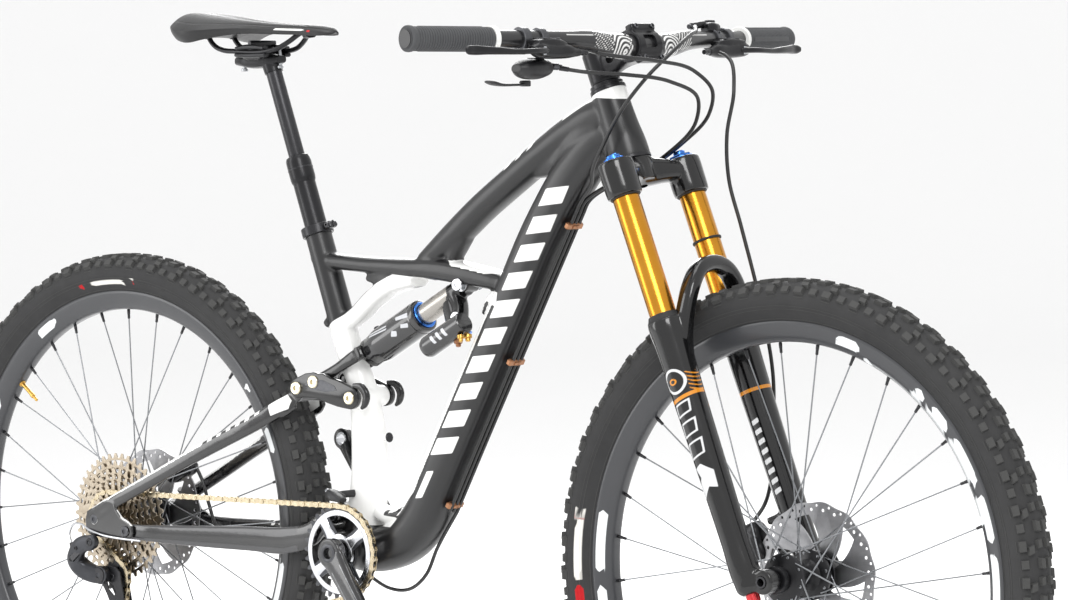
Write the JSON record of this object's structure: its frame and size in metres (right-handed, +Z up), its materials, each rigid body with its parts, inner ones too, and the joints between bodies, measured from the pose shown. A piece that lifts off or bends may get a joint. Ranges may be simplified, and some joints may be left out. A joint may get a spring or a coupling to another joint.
{
  "type": "mountain bike",
  "caption": "Full-suspension mountain bike: carbon-look frame with crossing struts, telescopic fork, four-bar rear linkage with air shock, dropper post, disc brakes and one-ring drivetrain.",
  "frame": {"origin": "on the ground, midway between the two tyre contacts, in the bike's mid-plane", "axes": "+X forwards, +Y to the rider's left, +Z up; the drive side faces -Y"},
  "size_m": [1.896, 0.754, 1.0675],
  "materials": {
    "carbon_frame": "satin clear-coated carbon",
    "carbon_rim": "satin",
    "tyre": "knobbly matt rubber",
    "grip": "matt ribbed",
    "black_alu": "black anodised",
    "silver_alu": "bright machined",
    "steel": "brushed",
    "gold_stanchion": "gold hard coat, polished",
    "gloss_black": "gloss paint",
    "chain_metal": "bronze plated steel",
    "cassette_metal": "bronze plated",
    "hose": "semi-matt",
    "saddle": "padded synthetic cover",
    "blue_anod": "anodised",
    "red_anod": "anodised",
    "derailleur": "grey anodised",
    "plastic": "moulded"
  },
  "bodies": {
    "frame": {"front_frame": "carbon_frame", "seat_collar": "black_alu", "dropper_outer": "black_alu", "downtube_cables": "hose"},
    "steerer": {"fork_crown": "gloss_black", "stanchion_right": "gold_stanchion", "stanchion_left": "gold_stanchion", "stem": "black_alu", "stem_faceplate": "black_alu", "handlebar": "carbon_frame", "grip_right": "grip", "grip_left": "grip", "brake_master_right": "black_alu", "brake_master_left": "black_alu", "shifter_pod": "plastic", "dropper_remote": "plastic", "rear_brake_hose_loop": "hose", "shift_housing_loop": "hose", "dropper_housing_loop": "hose", "front_brake_hose": "hose"},
    "compression_dial": {"compression_dial": "blue_anod"},
    "brake_lever_right": {"brake_lever_right": "black_alu"},
    "brake_lever_left": {"brake_lever_left": "black_alu"},
    "shifter_paddle": {"shifter_paddle": "plastic"},
    "dropper_lever": {"dropper_lever": "plastic"},
    "lowers": {"fork_lowers": "gloss_black", "front_axle": "black_alu", "front_caliper": "black_alu"},
    "rebound_knob": {"rebound_knob": "red_anod"},
    "front_wheel": {"front_tyre": "tyre", "front_rim": "carbon_rim", "front_spokes": "steel", "front_hub": "black_alu", "front_rotor": "steel"},
    "chainstay": {"chainstay": "carbon_frame", "chain": "chain_metal", "rear_brake_hose_stay": "hose"},
    "seatstay": {"seatstay": "carbon_frame", "rear_axle": "black_alu", "rear_caliper": "black_alu", "derailleur_body": "derailleur"},
    "rocker": {"rocker_link": "black_alu"},
    "shock_front": {"shock_shaft": "silver_alu"},
    "shock_rear": {"shock_air_can": "black_alu", "shock_yoke": "black_alu"},
    "rear_wheel": {"rear_tyre": "tyre", "rear_rim": "carbon_rim", "rear_spokes": "steel", "rear_hub": "black_alu", "rear_rotor": "steel"},
    "cassette": {"cassette": "cassette_metal"},
    "crank": {"crank_right": "carbon_frame", "crank_left": "carbon_frame", "chainring": "silver_alu"},
    "derailleur_cage": {"derailleur_cage": "derailleur"},
    "jockey_upper": {"jockey_upper": "plastic"},
    "jockey_lower": {"jockey_lower": "plastic"},
    "saddle_post": {"saddle": "saddle", "saddle_rails": "steel", "dropper_inner": "black_alu"}
  },
  "joints": [
    {"name": "steering", "type": "hinge", "parent": "frame", "child": "steerer", "pos_m": [0.32132, 0, 0.86577], "axis": [-0.3795, 0, 0.9252], "range_deg": [-60, 60], "deforming": ["rear_brake_hose_loop", "shift_housing_loop", "dropper_housing_loop"]},
    {"name": "compression_dial_turn", "type": "hinge", "parent": "steerer", "child": "compression_dial", "pos_m": [0.34537, -0.066, 0.87563], "axis": [-0.3795, 0, 0.9252], "range_deg": [0, 90]},
    {"name": "brake_lever_right_pull", "type": "hinge", "parent": "steerer", "child": "brake_lever_right", "pos_m": [0.34565, -0.198, 1.01099], "axis": [0, 0, -1], "range_deg": [0, 10], "stiffness_Nm_per_rad": 2, "springref_deg": -5.73},
    {"name": "brake_lever_left_pull", "type": "hinge", "parent": "steerer", "child": "brake_lever_left", "pos_m": [0.34565, 0.198, 1.01099], "axis": [0, 0, 1], "range_deg": [0, 10], "stiffness_Nm_per_rad": 2, "springref_deg": -5.73},
    {"name": "shifter_paddle_push", "type": "hinge", "parent": "steerer", "child": "shifter_paddle", "pos_m": [0.29901, -0.18, 0.97077], "axis": [0, 0, 1], "range_deg": [0, 20], "stiffness_Nm_per_rad": 0.5, "springref_deg": -5.73},
    {"name": "dropper_lever_push", "type": "hinge", "parent": "steerer", "child": "dropper_lever", "pos_m": [0.30777, 0.174, 1.04734], "axis": [0, 0, -1], "range_deg": [0, 18], "stiffness_Nm_per_rad": 0.5, "springref_deg": -5.73},
    {"name": "fork_travel", "type": "slide", "parent": "steerer", "child": "lowers", "axis": [-0.3795, 0, 0.9252], "range_m": [0, 0.148], "stiffness_N_per_m": 7000, "springref_m": -0.01, "deforming": ["front_brake_hose"]},
    {"name": "rebound_knob_turn", "type": "hinge", "parent": "lowers", "child": "rebound_knob", "pos_m": [0.56242, -0.066, 0.34641], "axis": [-0.3795, 0, 0.9252], "range_deg": [-150, 150]},
    {"name": "front_wheel_spin", "type": "hinge", "parent": "lowers", "child": "front_wheel", "pos_m": [0.581, 0, 0.367], "axis": [0, 1, 0], "continuous": true},
    {"name": "main_pivot", "type": "hinge", "parent": "frame", "child": "chainstay", "pos_m": [-0.166, 0, 0.398], "axis": [0, 1, 0], "range_deg": [0, 20], "stiffness_Nm_per_rad": 1300, "springref_deg": -0.57, "deforming": ["chain", "rear_brake_hose_stay"]},
    {"name": "horst_pivot", "type": "hinge", "parent": "chainstay", "child": "seatstay", "pos_m": [-0.519, 0, 0.354], "axis": [0, 1, 0], "range_deg": [-10.3, 0]},
    {"name": "rocker_pivot", "type": "hinge", "parent": "frame", "child": "rocker", "pos_m": [-0.134, 0, 0.554], "axis": [0, 1, 0], "range_deg": [0, 47.7]},
    {"name": "shock_eye_pivot", "type": "hinge", "parent": "frame", "child": "shock_front", "pos_m": [0.044, 0, 0.7092], "axis": [0, 1, 0], "range_deg": [0, 5.7]},
    {"name": "shock_stroke", "type": "slide", "parent": "shock_front", "child": "shock_rear", "axis": [0.8722, 0, 0.4891], "range_m": [0, 0.0495]},
    {"name": "rear_wheel_spin", "type": "hinge", "parent": "seatstay", "child": "rear_wheel", "pos_m": [-0.581, 0, 0.367], "axis": [0, 1, 0], "continuous": true},
    {"name": "crank_spin", "type": "hinge", "parent": "frame", "child": "crank", "pos_m": [-0.1414, 0, 0.35], "axis": [0, 1, 0], "continuous": true},
    {"name": "cassette_spin", "type": "hinge", "parent": "seatstay", "child": "cassette", "pos_m": [-0.581, 0, 0.367], "axis": [0, 1, 0], "continuous": true},
    {"name": "derailleur_cage_swing", "type": "hinge", "parent": "seatstay", "child": "derailleur_cage", "pos_m": [-0.581, 0, 0.288], "axis": [0, 1, 0], "range_deg": [-18, 0], "stiffness_Nm_per_rad": 3, "springref_deg": 5.73},
    {"name": "jockey_upper_spin", "type": "hinge", "parent": "derailleur_cage", "child": "jockey_upper", "pos_m": [-0.567, 0, 0.286], "axis": [0, 1, 0], "continuous": true},
    {"name": "jockey_lower_spin", "type": "hinge", "parent": "derailleur_cage", "child": "jockey_lower", "pos_m": [-0.537, 0, 0.204], "axis": [0, 1, 0], "continuous": true},
    {"name": "dropper_travel", "type": "slide", "parent": "frame", "child": "saddle_post", "axis": [-0.3467, 0, 0.938], "range_m": [-0.12, 0]}
  ],
  "couplings": [
    {"joint": "horst_pivot", "follows": "main_pivot", "ratio": -0.5131},
    {"joint": "rocker_pivot", "follows": "main_pivot", "ratio": 2.3789},
    {"joint": "shock_eye_pivot", "follows": "main_pivot", "ratio": 0.2834},
    {"joint": "shock_stroke", "follows": "main_pivot", "m_per_rad": 0.1406},
    {"joint": "cassette_spin", "follows": "crank_spin", "ratio": 1.6667},
    {"joint": "jockey_lower_spin", "follows": "crank_spin", "ratio": 2.7273},
    {"joint": "jockey_upper_spin", "follows": "crank_spin", "ratio": -2.7273}
  ]
}
